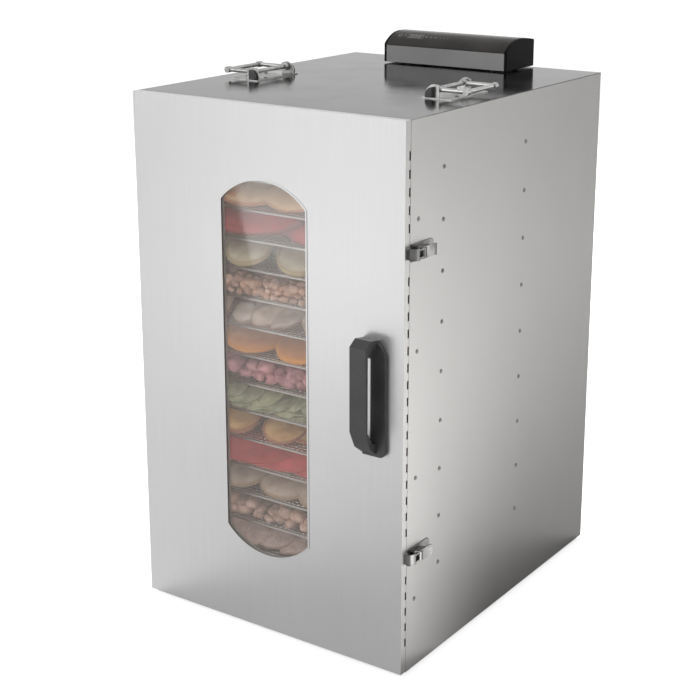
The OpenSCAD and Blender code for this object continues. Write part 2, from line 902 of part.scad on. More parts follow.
// Claw with two arms on the lever's pin and a curved hook over the keeper
module latch_claw() {
    top_u = hook_c[0] + hook_r;
    mirrored_slab(claw_z - claw_arm_t, claw_z) difference() {
        union() {
            translate(claw_pivot) circle(r = claw_eye_r, $fn = 48);
            polygon([[top_u, hook_c[1] - 0.5], [top_u, hook_c[1] + 4],
                     [claw_pivot[0] + 2, claw_pivot[1]], [claw_pivot[0] - 2, claw_pivot[1]],
                     [claw_pivot[0] - 2, claw_pivot[1] - 8],
                     [top_u - hook_t - 0.6, hook_c[1] - 0.5]]);
        }
        translate(claw_pivot) circle(r = latch_pin_r + pin_play, $fn = 48);
    }
    translate([0, 0, -claw_z]) linear_extrude(2 * claw_z) difference() {
        translate(claw_pivot) circle(r = claw_eye_r, $fn = 48);
        translate(claw_pivot) circle(r = latch_pin_r + pin_play, $fn = 48);
    }
    translate([0, 0, -flange_z]) linear_extrude(2 * flange_z) {
        intersection() {
            difference() {
                translate(hook_c) circle(r = hook_r, $fn = 96);
                translate(hook_c) circle(r = hook_r - hook_t, $fn = 96);
            }
            translate([hook_c[0], hook_c[1] - 2 * hook_r]) square(2 * hook_r);
        }
        translate([top_u - hook_t, hook_c[1] - eps]) square([hook_t, 3]);
    }
}

module latch_lever_upper() {
    color("silver") at_latch(latch_high) latch_lever();
}

module latch_lever_lower() {
    color("silver") at_latch(latch_low) latch_lever();
}

module latch_claw_upper() {
    color("lightgray") at_latch(latch_high) latch_claw();
}

module latch_claw_lower() {
    color("lightgray") at_latch(latch_low) latch_claw();
}

module latch_keepers() {
    color("silver") at_latches() {
        block([0, keeper_v, -claw_z], [0.8, door_depth - 1, claw_z]);
        block([0, keeper_v, -claw_z], [2, keeper_v + 1.4, claw_z]);
    }
}

// ---------------------------------------------------------------- door

// Window outline grown by a margin: a strip with arched ends
module window_2d(grow) {
    low_c = window_low - window_rise + arch_r;
    high_c = window_high + window_rise - arch_r;
    intersection() {
        translate([-window_w / 2 - grow, 0]) square([window_w + 2 * grow, top_z]);
        union() {
            translate([0, low_c]) circle(r = arch_r + grow, $fn = 200);
            translate([0, high_c]) circle(r = arch_r + grow, $fn = 200);
            translate([-arch_r - grow, low_c]) square([2 * (arch_r + grow), high_c - low_c]);
        }
    }
}

// Window outline as a slab between two depths
module window_slab(y0, y1, grow) {
    translate([0, y1, 0]) rotate([90, 0, 0]) linear_extrude(y1 - y0) window_2d(grow);
}

module at_handle_screws() {
    for (s = [-1, 1])
        translate([handle_x + grip_w / 2, front_y, handle_mid + s * (handle_h / 2 - 10)])
            rotate([-90, 0, 0]) children();
}

module door_panel() {
    color("whitesmoke") difference() {
        union() {
            difference() {
                block([-side_x, front_y, door_low], [side_x, door_back, top_z]);
                block([sheet - side_x, front_y + sheet, door_low + sheet],
                      [side_x - sheet, door_back + 1, top_z - sheet]);
            }
            window_slab(front_y - 0.8, front_y + sheet, window_rim);
        }
        window_slab(front_y - 2, front_y + sheet + 1, 0);
        for (x = [-1, 1], i = [0 : notch_count - 1]) {
            z = door_mid + (i - (notch_count - 1) / 2) * notch_pitch;
            if (min(abs(z - latch_low), abs(z - latch_high)) > (latch_h + notch_h) / 2 + 3)
                translate([x * side_x, door_back, z])
                    cube([4 * sheet, 2 * notch_d, notch_h], center = true);
        }
        at_handle_screws() translate([0, 0, -1]) cylinder(r = screw_r, h = sheet + 2, $fn = 32);
    }
}

module window_glass() {
    color("lightsteelblue", 0.4) window_slab(front_y + sheet, glass_back, glass_lap);
}

module window_gasket() {
    color("dimgray") difference() {
        window_slab(glass_back, glass_back + gasket_t, glass_lap);
        window_slab(glass_back - 1, glass_back + gasket_t + 1, 2);
    }
}

// Inner steel frame that holds gasket and glass against the door sheet
module window_retainer() {
    back = glass_back + gasket_t;
    color("silver") {
        difference() {
            window_slab(back, back + sheet, retainer_lap);
            window_slab(back - 1, back + sheet + 1, 1);
        }
        difference() {
            window_slab(front_y + sheet, back + sheet, retainer_lap);
            window_slab(front_y, back + sheet + 1, retainer_lap - sheet);
        }
    }
}

// Handle: base plate open behind the grip, and a flat grip on two curved legs
module door_handle() {
    round_r = 24;
    foot_r = 8;
    opening_w = 12;
    color("black") difference() {
        union() {
            translate([0, front_y, 0]) rotate([90, 0, 0]) linear_extrude(handle_base_t) difference() {
                translate([handle_x, handle_low]) square([handle_w, handle_h]);
                translate([handle_x + handle_w, handle_high]) rotate(180) corner_2d(round_r);
                translate([handle_x + handle_w, handle_low]) rotate(90) corner_2d(foot_r);
                translate([handle_x - 1, handle_low + handle_leg + 2])
                    square([opening_w + 1, handle_h - 2 * handle_leg - 11]);
            }
            translate([grip_x, front_y, 0]) mirror([0, 1, 0]) rotate([90, 0, 90])
                linear_extrude(grip_w) difference() {
                    polygon([[0, handle_low - 1], [handle_reach * 0.63, handle_low + 13],
                             [handle_reach, handle_low + 36], [handle_reach, handle_high - 5],
                             [handle_reach * 0.6, handle_high + 3], [0, handle_high]]);
                    polygon([[-1, handle_low + handle_leg],
                             [handle_reach * 0.45, handle_low + handle_leg + 4],
                             [handle_reach - grip_t, handle_low + handle_leg + 22],
                             [handle_reach - grip_t, handle_high - handle_leg - 1],
                             [handle_reach * 0.5, handle_high - handle_leg + 6],
                             [-1, handle_high - handle_leg]]);
                }
        }
        at_handle_screws() translate([0, 0, -handle_screw_l - 1.5])
            cylinder(r = screw_r, h = handle_screw_l + 2.5, $fn = 32);
    }
}

module handle_screws() {
    color("gray") at_handle_screws() translate([0, 0, sheet]) screw(sheet + handle_screw_l);
}

// ---------------------------------------------------------------- hinges

// Frame of a hinge: z along the pin, y rearward, x away from the side panel
module at_hinges() {
    for (z = [hinge_end, top_z - hinge_end]) translate([hinge_x, hinge_y, z]) children();
}

// One knuckle with its bore
module knuckle(z0, z1, bore) {
    translate([0, 0, z0]) difference() {
        cylinder(r = knuckle_r, h = z1 - z0, $fn = 48);
        translate([0, 0, -1]) cylinder(r = bore, h = z1 - z0 + 2, $fn = 48);
    }
}

module hinge_leaves_cabinet() {
    clear = knuckle_r + hinge_clear;
    color("silver") at_hinges() difference() {
        union() {
            block([leaf_x - leaf_t, clear, -hinge_l / 2], [leaf_x, leaf_w, hinge_l / 2]);
            for (s = [0, 1]) mirror([0, 0, s]) {
                block([leaf_x - leaf_t, (shell_front - hinge_y) + 0.1, knuckle_l / 2 + hinge_clear],
                      [leaf_x, clear + 1, hinge_l / 2]);
                knuckle(knuckle_l / 2 + hinge_clear, hinge_l / 2, hinge_pin_r);
            }
        }
        translate([0, 0, -hinge_l]) cylinder(r = hinge_pin_r, h = 2 * hinge_l, $fn = 48);
    }
}

module hinge_leaves_door() {
    clear = knuckle_r + hinge_clear;
    color("silver") at_hinges() difference() {
        union() {
            block([leaf_x - leaf_t, -door_depth + 1.5, -hinge_l / 2], [leaf_x, -clear, hinge_l / 2]);
            block([leaf_x - leaf_t, -clear - 1, -knuckle_l / 2],
                  [leaf_x, door_back - hinge_y - 0.1, knuckle_l / 2]);
            knuckle(-knuckle_l / 2, knuckle_l / 2, hinge_pin_r + pin_play);
        }
        translate([0, 0, -hinge_l]) cylinder(r = hinge_pin_r + pin_play, h = 2 * hinge_l, $fn = 48);
    }
}

module hinge_pins() {
    color("gray") at_hinges() {
        translate([0, 0, -hinge_l / 2]) cylinder(r = hinge_pin_r, h = hinge_l, $fn = 48);
        translate([0, 0, hinge_l / 2]) cylinder(r1 = hinge_pin_r + 1, r2 = hinge_pin_r, h = 1.2, $fn = 48);
    }
}

// ---------------------------------------------------------------- trays

// Tray: square rim, rods from front to back in two layers of cross bars
module tray(i) {
    z = first_shelf + (i - 1) * tray_pitch;
    rods = floor((tray_w - 2 * tray_bar) / tray_rod_pitch);
    step = (tray_w - tray_bar) / rods;
    color("lightgray") {
        difference() {
            block([-tray_w / 2, tray_front, z], [tray_w / 2, tray_back, z + tray_h]);
            block([tray_bar - tray_w / 2, tray_front + tray_bar, z - 1],
                  [tray_w / 2 - tray_bar, tray_back - tray_bar, z + tray_h + 1]);
        }
        for (r = [1 : rods - 1])
            block([-tray_w / 2 + tray_bar / 2 + r * step - tray_rod / 2, tray_front + 1, z + tray_rod],
                  [-tray_w / 2 + tray_bar / 2 + r * step + tray_rod / 2, tray_back - 1, z + 2 * tray_rod]);
        for (s = [1 : 4])
            block([-tray_w / 2 + 1, tray_front + s * tray_d / 5 - tray_rod / 2, z + 0.2],
                  [tray_w / 2 - 1, tray_front + s * tray_d / 5 + tray_rod / 2, z + tray_rod + 0.2]);
    }
}

base_pan();
side_panel_left();
side_panel_right();
top_panel();
rear_panel();
front_frame();
rack_left();
rack_right();
fan_wall();
feet();
casing_screws();
fan_guards();
heaters();
motors();
fan_upper();
fan_lower();
temperature_probe();
power_inlet();
power_rocker();
control_housing();
control_front_plate();
control_end_caps();
touch_panel();
control_board();
carry_plates();
carry_blocks();
carry_bail_left();
carry_bail_right();
latch_bases();
latch_pins();
latch_lever_upper();
latch_lever_lower();
latch_claw_upper();
latch_claw_lower();
latch_keepers();
door_panel();
window_glass();
window_gasket();
window_retainer();
door_handle();
handle_screws();
hinge_leaves_cabinet();
hinge_leaves_door();
hinge_pins();
for (i = [1 : TRAY_COUNT]) tray(i);
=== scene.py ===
import json
import math
import random

import bmesh
import bpy
from mathutils import Matrix, Vector, noise
from mathutils.bvhtree import BVHTree

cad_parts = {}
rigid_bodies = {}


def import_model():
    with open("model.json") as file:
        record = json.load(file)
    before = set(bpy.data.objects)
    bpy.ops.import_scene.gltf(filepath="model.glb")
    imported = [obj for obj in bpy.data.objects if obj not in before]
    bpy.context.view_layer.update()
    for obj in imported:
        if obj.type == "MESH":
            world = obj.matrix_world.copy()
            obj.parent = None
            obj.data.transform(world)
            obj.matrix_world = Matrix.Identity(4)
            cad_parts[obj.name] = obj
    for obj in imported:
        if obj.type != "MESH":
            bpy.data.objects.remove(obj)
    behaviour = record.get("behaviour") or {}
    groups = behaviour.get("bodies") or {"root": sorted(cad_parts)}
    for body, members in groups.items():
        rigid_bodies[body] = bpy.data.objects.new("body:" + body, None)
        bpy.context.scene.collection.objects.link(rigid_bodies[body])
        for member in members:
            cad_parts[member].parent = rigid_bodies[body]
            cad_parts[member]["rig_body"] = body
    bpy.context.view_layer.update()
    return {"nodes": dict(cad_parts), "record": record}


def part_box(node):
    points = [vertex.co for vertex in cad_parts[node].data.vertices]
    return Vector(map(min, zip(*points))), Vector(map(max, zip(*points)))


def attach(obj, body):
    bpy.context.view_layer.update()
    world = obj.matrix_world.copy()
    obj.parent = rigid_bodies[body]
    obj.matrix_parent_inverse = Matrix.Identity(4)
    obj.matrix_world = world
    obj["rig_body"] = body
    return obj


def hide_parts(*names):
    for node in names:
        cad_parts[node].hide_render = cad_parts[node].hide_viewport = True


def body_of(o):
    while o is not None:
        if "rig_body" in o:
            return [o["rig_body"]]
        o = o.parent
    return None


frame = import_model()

MM = 0.001
nodes = frame["nodes"]
scene = bpy.context.scene

TRAYS = sorted(name for name in nodes if name.startswith("tray_"))


# ---------------------------------------------------------------- node graphs

NOISE_ROUGHNESS = 0.55
MIX_IN, MIX_OUT = (6, 7), 2    # the colour sockets of a Mix node, whose names are shared


class Shader:
    """A material's node tree with one Principled shader and short ways to add and link nodes."""

    def __init__(self, name):
        self.material = bpy.data.materials.new(name)
        self.material.use_nodes = True
        self.tree = self.material.node_tree
        self.tree.nodes.clear()
        output = self.add("ShaderNodeOutputMaterial")
        self.surface = self.add("ShaderNodeBsdfPrincipled")
        self.link(self.surface, "BSDF", output, "Surface")

    def add(self, kind, **settings):
        node = self.tree.nodes.new(kind)
        for key, value in settings.items():
            setattr(node, key, value)
        return node

    def link(self, source, out, target, into):
        self.tree.links.new(source.outputs[out], target.inputs[into])

    def set(self, **values):
        for key, value in values.items():
            self.surface.inputs[key.replace("_", " ")].default_value = value

    def coords(self, cells=(1, 1, 1)):
        """Object coordinates in metres, times a number of cells a metre along each axis."""
        place = self.add("ShaderNodeTexCoord")
        mapping = self.add("ShaderNodeMapping")
        mapping.inputs["Scale"].default_value = cells
        self.link(place, "Object", mapping, "Vector")
        return mapping

    def noise(self, cells, detail):
        """Noise with so many cells a metre, the same along each axis where cells is one number."""
        if not isinstance(cells, (tuple, list)):
            cells = (cells, cells, cells)
        texture = self.add("ShaderNodeTexNoise")
        texture.inputs["Scale"].default_value = 1.0
        texture.inputs["Detail"].default_value = detail
        texture.inputs["Roughness"].default_value = NOISE_ROUGHNESS
        self.link(self.coords(cells), "Vector", texture, "Vector")
        return texture

    def ramp(self, source, out, stops):
        """A colour ramp over a node's output."""
        ramp = self.add("ShaderNodeValToRGB")
        self.link(source, out, ramp, "Fac")
        elements = ramp.color_ramp.elements
        while len(elements) < len(stops):
            elements.new(0.5)
        for element, (position, colour) in zip(elements, stops):
            element.position = position
            element.color = (*colour, 1)
        return ramp

    def span(self, source, out, low, high, start=0.3, end=0.7):
        """Maps the values from start to end of a node's output to the numbers from low to high."""
        span = self.add("ShaderNodeMapRange")
        span.inputs["From Min"].default_value = start
        span.inputs["From Max"].default_value = end
        span.inputs["To Min"].default_value = low
        span.inputs["To Max"].default_value = high
        self.link(source, out, span, "Value")
        return span

    def mix(self, first, second, factor=None):
        """Two colours mixed by a node's Result, or multiplied where there is none.

        Each of the two is a colour, or a node with the name or number of its output.
        """
        kind = "MULTIPLY" if factor is None else "MIX"
        mix = self.add("ShaderNodeMix", data_type="RGBA", blend_type=kind)
        if factor is None:
            mix.inputs["Factor"].default_value = 1.0
        else:
            self.link(factor, "Result", mix, "Factor")
        for slot, value in zip(MIX_IN, (first, second)):
            if isinstance(value[0], bpy.types.Node):
                self.tree.links.new(value[0].outputs[value[1]], mix.inputs[slot])
            else:
                mix.inputs[slot].default_value = (*value, 1)
        return mix

    def colour(self, node, out):
        self.link(node, out, self.surface, "Base Color")

    def roughness(self, span):
        self.link(span, "Result", self.surface, "Roughness")

    def bump(self, node, out, strength, distance):
        bump = self.add("ShaderNodeBump")
        bump.inputs["Strength"].default_value = strength
        bump.inputs["Distance"].default_value = distance
        self.link(node, out, bump, "Height")
        self.link(bump, "Normal", self.surface, "Normal")


def shade(colour, factor):
    """A colour made darker or lighter."""
    return tuple(min(1.0, c * factor) for c in colour)


# ---------------------------------------------------------------- materials

def brushed(name, colour, grain, rough):
    """Brushed steel: fine scratches along one axis, drawn out noise in tone, gloss and bump."""
    s = Shader(name)
    s.set(Metallic=1.0)
    cells = [1400, 1400, 1400]
    cells["xyz".index(grain)] = 6
    lines = s.noise(cells, 3.0)
    patches = s.noise(3, 2.0)
    tone = s.ramp(lines, "Fac", ((0.3, shade(colour, 0.95)), (0.7, shade(colour, 1.03))))
    cloud = s.ramp(patches, "Fac", ((0.3, (0.96, 0.96, 0.96)), (0.7, (1, 1, 1))))
    s.colour(s.mix((tone, "Color"), (cloud, "Color")), MIX_OUT)
    s.roughness(s.span(lines, "Fac", rough * 0.85, rough * 1.2))
    s.bump(lines, "Fac", 0.12, 0.00004)
    return s.material


def polished(name, colour, rough, edge):
    """Rolled steel with a sheen that is weaker at a low angle, rolling marks and a little haze."""
    s = Shader(name)
    s.set(Metallic=1.0)
    marks = s.noise((700, 9, 700), 2.0)
    haze = s.noise(14, 5.0)
    tone = s.ramp(marks, "Fac", ((0.3, shade(colour, 0.97)), (0.7, shade(colour, 1.02))))
    s.colour(tone, "Color")
    s.roughness(s.span(haze, "Fac", rough * 0.7, rough * 1.35))
    s.bump(marks, "Fac", 0.05, 0.00003)
    s.surface.inputs["Specular Tint"].default_value = (edge, edge, edge, 1)
    return s.material


def bright_metal(name, colour, rough, dirt):
    """Pressed or plated small parts: slight orange peel and darker hollows of wear."""
    s = Shader(name)
    s.set(Metallic=1.0)
    grain = s.noise(420, 3.0)
    wear = s.noise(60, 4.0)
    tone = s.ramp(wear, "Fac", ((0.35, shade(colour, dirt)), (0.6, colour)))
    s.colour(tone, "Color")
    s.roughness(s.span(wear, "Fac", rough * 1.3, rough * 0.8))
    s.bump(grain, "Fac", 0.08, 0.00005)
    return s.material


def plastic(name, colour, rough, grain=0.25, ior=1.4):
    """Moulded plastic: fine spark-eroded grain, slight change of gloss."""
    s = Shader(name)
    s.set(IOR=ior)
    fine = s.noise(900, 2.0)
    broad = s.noise(25, 3.0)
    tone = s.ramp(broad, "Fac", ((0.3, shade(colour, 0.85)), (0.7, shade(colour, 1.15))))
    s.colour(tone, "Color")
    s.roughness(s.span(broad, "Fac", rough * 0.88, rough * 1.12))
    s.bump(fine, "Fac", grain, 0.00006)
    return s.material


def painted(name, colour, rough, metallic=0.0):
    """Powder-coated or sprayed metal with fine orange peel."""
    s = Shader(name)
    s.set(Metallic=metallic)
    peel = s.noise(260, 2.0)
    broad = s.noise(12, 3.0)
    tone = s.ramp(broad, "Fac", ((0.3, shade(colour, 0.93)), (0.7, shade(colour, 1.04))))
    s.colour(tone, "Color")
    s.roughness(s.span(peel, "Fac", rough * 0.85, rough * 1.15))
    s.bump(peel, "Fac", 0.15, 0.00006)
    return s.material


def window_glass(name):
    """Glass with a warm film on it that catches the light."""
    s = Shader(name)
    s.set(IOR=2.2, Alpha=0.24)
    film = s.noise(5, 3.0)
    tone = s.ramp(film, "Fac", ((0.3, (0.31, 0.26, 0.23)), (0.7, (0.38, 0.33, 0.30))))
    s.colour(tone, "Color")
    s.roughness(s.span(film, "Fac", 0.02, 0.05))
    return s.material


def circuit_board(name):
    """Green board with a pattern of tracks."""
    s = Shader(name)
    tracks = s.add("ShaderNodeTexBrick")
    tracks.inputs["Color1"].default_value = (0.02, 0.16, 0.06, 1)
    tracks.inputs["Color2"].default_value = (0.03, 0.20, 0.08, 1)
    tracks.inputs["Mortar"].default_value = (0.05, 0.30, 0.12, 1)
    tracks.inputs["Scale"].default_value = 90
    s.link(s.coords(), "Vector", tracks, "Vector")
    s.colour(tracks, "Color")
    s.set(Roughness=0.35)
    return s.material


MATERIALS = {
    "door_sheet": brushed("door_sheet", (0.60, 0.60, 0.60), "z", 0.38),
    # the sides are the door's steel with a darker colour: painted shade of the sides
    "cabinet_sheet": brushed("cabinet_sheet", (0.335, 0.33, 0.322), "z", 0.38),
    # the polish of the top is real; its dark colour is painted shade of the top
    "top_sheet": polished("top_sheet", (0.19, 0.19, 0.19), 0.13, 0.72),
    "inner_sheet": brushed("inner_sheet", (0.66, 0.66, 0.65), "y", 0.34),
    "tray_wire": bright_metal("tray_wire", (0.70, 0.69, 0.66), 0.34, 0.9),
    "bright_steel": bright_metal("bright_steel", (0.46, 0.46, 0.45), 0.34, 0.7),
    "screw_steel": bright_metal("screw_steel", (0.17, 0.165, 0.16), 0.34, 0.7),
    "trim_chrome": bright_metal("trim_chrome", (0.21, 0.207, 0.203), 0.36, 0.6),
    "fan_metal": brushed("fan_metal", (0.72, 0.73, 0.74), "x", 0.32),
    "motor_metal": painted("motor_metal", (0.16, 0.17, 0.18), 0.42, 0.3),
    "heater_metal": painted("heater_metal", (0.10, 0.09, 0.085), 0.55, 0.6),
    "black_plastic": plastic("black_plastic", (0.050, 0.050, 0.051), 0.38, ior=1.5),
    "gloss_black": plastic("gloss_black", (0.082, 0.077, 0.074), 0.22, 0.04, ior=1.08),
    # a darker black than black_plastic: black plastic with painted shade of the control box's end
    # caps
    "cap_black_painted_shade": plastic("cap_black_painted_shade", (0.009, 0.009, 0.009), 0.35, 0.1, ior=1.12),
    "control_silver": painted("control_silver", (0.25, 0.25, 0.25), 0.40, 0.3),
    "circuit_board": circuit_board("circuit_board"),
    "rubber_black": plastic("rubber_black", (0.02, 0.02, 0.02), 0.75, 0.5),
    "gasket_rubber": plastic("gasket_rubber", (0.75, 0.74, 0.70), 0.6, 0.4),
    "glass_clear": window_glass("glass_clear"),
}


def paint(obj, slot):
    """Gives an object one material."""
    obj.data.materials.clear()
    obj.data.materials.append(MATERIALS[slot])


def dress_frame():
    """Gives every CAD node the material of its slot."""
    slots = {row["node"]: row["material_slot"] for row in frame["record"]["subparts"]}
    for name, obj in nodes.items():
        paint(obj, slots[name])
    return slots


SLOTS = dress_frame()


# ---------------------------------------------------------------- mesh helpers

MERGE = 1e-6                       # distance in metres at which corners are one
FLAT_ANGLE = math.radians(0.4)     # faces that turn less than this are one face
SHARP_ANGLE = math.radians(30)     # edges that turn more than this are eased


def make_object(name, mesh, body, slot=None, smooth=35):
    """Links a mesh as a piece that rides on a body, smooth up to an angle in degrees."""
    obj = bpy.data.objects.new(name, mesh)
    scene.collection.objects.link(obj)
    mesh.shade_smooth()
    mesh.set_sharp_from_angle(angle=math.radians(smooth))
    if slot:
        paint(obj, slot)
    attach(obj, body)
    return obj


def mesh_from(bm, name):
    """The mesh of a bmesh, which is freed."""
    mesh = bpy.data.meshes.new(name)
    bm.to_mesh(mesh)
    bm.free()
    return mesh


def eased(node, width):
    """A copy of a CAD node with its sharp edges eased by so many mm, which stands for the node."""
    bm = bmesh.new()
    bm.from_mesh(nodes[node].data)
    bmesh.ops.remove_doubles(bm, verts=bm.verts, dist=MERGE)
    bmesh.ops.dissolve_limit(bm, angle_limit=FLAT_ANGLE, verts=bm.verts, edges=bm.edges)
    sharp = [e for e in bm.edges if e.is_manifold and e.calc_face_angle(0) > SHARP_ANGLE]
    bmesh.ops.bevel(bm, geom=sharp, offset=width * MM, segments=2, profile=0.5,
                    affect="EDGES", clamp_overlap=True)
    name = node + "_eased"
    body = body_of(nodes[node])[0]
    obj = make_object(name, mesh_from(bm, name), body, SLOTS[node], 50)
    even = obj.modifiers.new("even", "WEIGHTED_NORMAL")
    even.mode = "FACE_AREA"
    even.weight = 100
    even.keep_sharp = True
    if node == "control_end_caps":
        # the end caps get the darker black, which holds painted shade
        paint(obj, "cap_black_painted_shade")
    if node == "door_panel":
        # The door's folded sides get the cabinet sides' steel, whose darker colour is painted
        # shade of the sides
        obj.data.materials.append(MATERIALS["cabinet_sheet"])
        for face in obj.data.polygons:
            face.material_index = int(abs(face.normal.x) > 0.9)
    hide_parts(node)


def tube(bm, points, radius, sides):
    """A round bar along a list of points, closed at both ends."""
    rings = []
    for i, point in enumerate(points):
        ahead = points[min(i + 1, len(points) - 1)] - points[max(i - 1, 0)]
        turn = ahead.to_track_quat("Z", "Y")
        rings.append([
            bm.verts.new(point + turn @ Vector((math.cos(a), math.sin(a), 0)) * radius)
            for a in (2 * math.pi * k / sides for k in range(sides))
        ])
    for low, high in zip(rings, rings[1:]):
        for k in range(sides):
            bm.faces.new((low[k], low[(k + 1) % sides], high[(k + 1) % sides], high[k]))
    bm.faces.new(reversed(rings[0]))
    bm.faces.new(rings[-1])


# ---------------------------------------------------------------- camera

SENSOR = 36          # width of the camera's sensor in mm
FRAME = 700          # width of the picture in its own pixels
FOCAL = 1500.6       # focal length in the same pixels
SHIFT = -0.1         # the picture's middle lies below the view's axis by this share of its width


def make_camera():
    """The camera that was fitted to the cabinet's corners."""
    data = bpy.data.cameras.new("camera")
    camera = bpy.data.objects.new("camera", data)
    scene.collection.objects.link(camera)
    data.sensor_width = SENSOR
    data.lens = SENSOR * FOCAL / FRAME
    data.shift_y = SHIFT
    data.clip_end = 50
    camera.location = (1.1509, -1.7152, 1.0170)
    yaw, pitch = math.radians(34.73), math.radians(15.43)
    camera.rotation_euler = (math.pi / 2 - pitch, 0, yaw)
    scene.camera = camera


# ---------------------------------------------------------------- trays

RIM_R = 9 * MM                     # corner of the tray's rim
RIM_STEPS = 5                      # parts of each corner
RIM_BAR = 3 * MM                   # width of the rim's bar
# Section of the rim's bar in mm: inwards from its outer face, and up from the tray's base
RIM_SECTION = (
    (0, 2.1), (0.6, 1.5), (2.4, 1.5), (3, 2.1), (3, 3.8), (2.4, 4.4), (0.6, 4.4), (0, 3.8),
)
WIRE_END = RIM_BAR * 0.7           # wires end inside the bar
MESH_PITCH = 7.5 * MM
MESH_WIRE_R = 0.65 * MM
MESH_Z = (3.0 * MM, 2.1 * MM)      # heights of the wires along y and along x
BEARERS, BEARER_R, BEARER_Z = 4, 0.8 * MM, 0.95 * MM


def rim_path(half_w, front, back, radius):
    """Points round a rectangle with rounded corners, each with its outward angle."""
    corners = (
        (half_w - radius, back - radius, 0),
        (-half_w + radius, back - radius, 90),
        (-half_w + radius, front + radius, 180),
        (half_w - radius, front + radius, 270),
    )
    path = []
    for x, y, start in corners:
        for k in range(RIM_STEPS + 1):
            a = math.radians(start + 90 * k / RIM_STEPS)
            path.append((x + radius * math.cos(a), y + radius * math.sin(a), a))
    return path


def add_rim(bm, low, high):
    """The rim's bar, all the way round."""
    rings = []
    for x, y, a in rim_path(high.x, low.y, high.y, RIM_R):
        rings.append([
            bm.verts.new((x - math.cos(a) * u * MM, y - math.sin(a) * u * MM, low.z + v * MM))
            for u, v in RIM_SECTION
        ])
    sides = len(RIM_SECTION)
    for ring, after in zip(rings, rings[1:] + rings[:1]):
        for k in range(sides):
            n = (k + 1) % sides
            bm.faces.new((ring[k], ring[n], after[n], after[k]))


def tray_mesh():
    """Rim of a rounded bar, a mesh of crossing wires and the bearers that rest on the shelves."""
    low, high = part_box(TRAYS[0])
    bm = bmesh.new()
    add_rim(bm, low, high)
    x0, x1 = low.x + WIRE_END, high.x - WIRE_END
    y0, y1 = low.y + WIRE_END, high.y - WIRE_END
    over, under = (low.z + z for z in MESH_Z)
    across = int((x1 - x0) / MESH_PITCH)
    for i in range(1, across):
        x = x0 + (x1 - x0) * i / across
        tube(bm, [Vector((x, y0, over)), Vector((x, y1, over))], MESH_WIRE_R, 6)
    along = int((y1 - y0) / MESH_PITCH)
    for i in range(1, along):
        y = y0 + (y1 - y0) * i / along
        tube(bm, [Vector((x0, y, under)), Vector((x1, y, under))], MESH_WIRE_R, 6)
    z = low.z + BEARER_Z
    for i in range(1, BEARERS + 1):
        y = y0 + (y1 - y0) * i / (BEARERS + 1)
        tube(bm, [Vector((x0, y, z)), Vector((x1, y, z))], BEARER_R, 8)
    bmesh.ops.recalc_face_normals(bm, faces=bm.faces)
    return mesh_from(bm, "tray"), low.z


def make_trays():
    """One mesh for all the trays, each at its own height."""
    mesh, base = tray_mesh()
    for name in TRAYS:
        obj = make_object(name + "_mesh", mesh, "cabinet", "tray_wire")
        obj.location.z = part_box(name)[0].z - base
        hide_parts(name)


# ---------------------------------------------------------------- food

def food(name, dark, light, rough, speckle, skin=None, gloss=0.2):
    """Dried food: mottled flesh, a tone of its own for each piece, and a darker or paler skin."""
    s = Shader(name)
    s.set(IOR=1.4, Coat_Weight=gloss, Coat_Roughness=0.35, Subsurface_Weight=0.08)
    s.surface.inputs["Subsurface Radius"].default_value = (0.006, 0.003, 0.002)
    mottle = s.noise(speckle, 5.0)
    flesh = s.ramp(mottle, "Fac", ((0.32, dark), (0.68, light)))
    island = s.add("ShaderNodeNewGeometry")
    stops = ((0.0, (0.78, 0.76, 0.74)), (0.5, (1, 1, 1)), (1.0, (1.1, 1.06, 1.0)))
    tones = s.ramp(island, "Random Per Island", stops)
    mixed = s.mix((flesh, "Color"), (tones, "Color"))
    if skin:
        place = s.add("ShaderNodeAttribute", attribute_name="place")
        edge = s.span(place, "Fac", 0, 1, 0.86, 0.95)
        mixed = s.mix((mixed, MIX_OUT), skin, edge)
    s.colour(mixed, MIX_OUT)
    s.set(Roughness=rough)
    s.bump(mottle, "Fac", 0.5, 0.0008)
    return s.material


RINGS, SIDES = 4, 22    # how finely a slice is divided
SQUEEZE = 0.55          # thickness of a slice at its edge, as a share of its own
NOISE_SPAN = 90         # the dents of each piece come from a place of their own in this range


def noise_seed(rng):
    return Vector([rng.random() * NOISE_SPAN for _ in range(3)])


def disc(rng, outline, size, thick, curl, rough):
    """A slice: two skins over an outline in polar form, curled and dented, closed at its edge."""
    verts, faces, place = [], [], []
    seed = noise_seed(rng)

    def lift(x, y, side):
        bend = curl * ((x / size) ** 2 - 0.4 * (y / size) ** 2)
        wave = noise.noise(Vector((x, y, 0)) * (1.6 / size) + seed) * rough
        return bend + wave + side * thick / 2

    for side in (1, -1):
        verts.append((0, 0, lift(0, 0, side)))
        place.append(0.0)
        for r in range(1, RINGS + 1):
            share = r / RINGS
            for k in range(SIDES):
                a = 2 * math.pi * k / SIDES
                reach = outline(a) * size * share
                x, y = reach * math.cos(a), reach * math.sin(a)
                squeeze = SQUEEZE if r == RINGS else 1.0
                verts.append((x, y, lift(x, y, side * squeeze)))
                place.append(share)
    half = 1 + RINGS * SIDES
    for side in (0, 1):
        base = side * half
        for k in range(SIDES):
            n = (k + 1) % SIDES
            tri = (base, base + 1 + k, base + 1 + n)
            faces.append(tri if side == 0 else tri[::-1])
            for r in range(RINGS - 1):
                a, b = base + 1 + r * SIDES, base + 1 + (r + 1) * SIDES
                quad = (a + k, b + k, b + n, a + n)
                faces.append(quad if side == 0 else quad[::-1])
    rim = 1 + (RINGS - 1) * SIDES
    for k in range(SIDES):
        n = (k + 1) % SIDES
        faces.append((rim + k, half + rim + k, half + rim + n, rim + n))
    return verts, faces, place


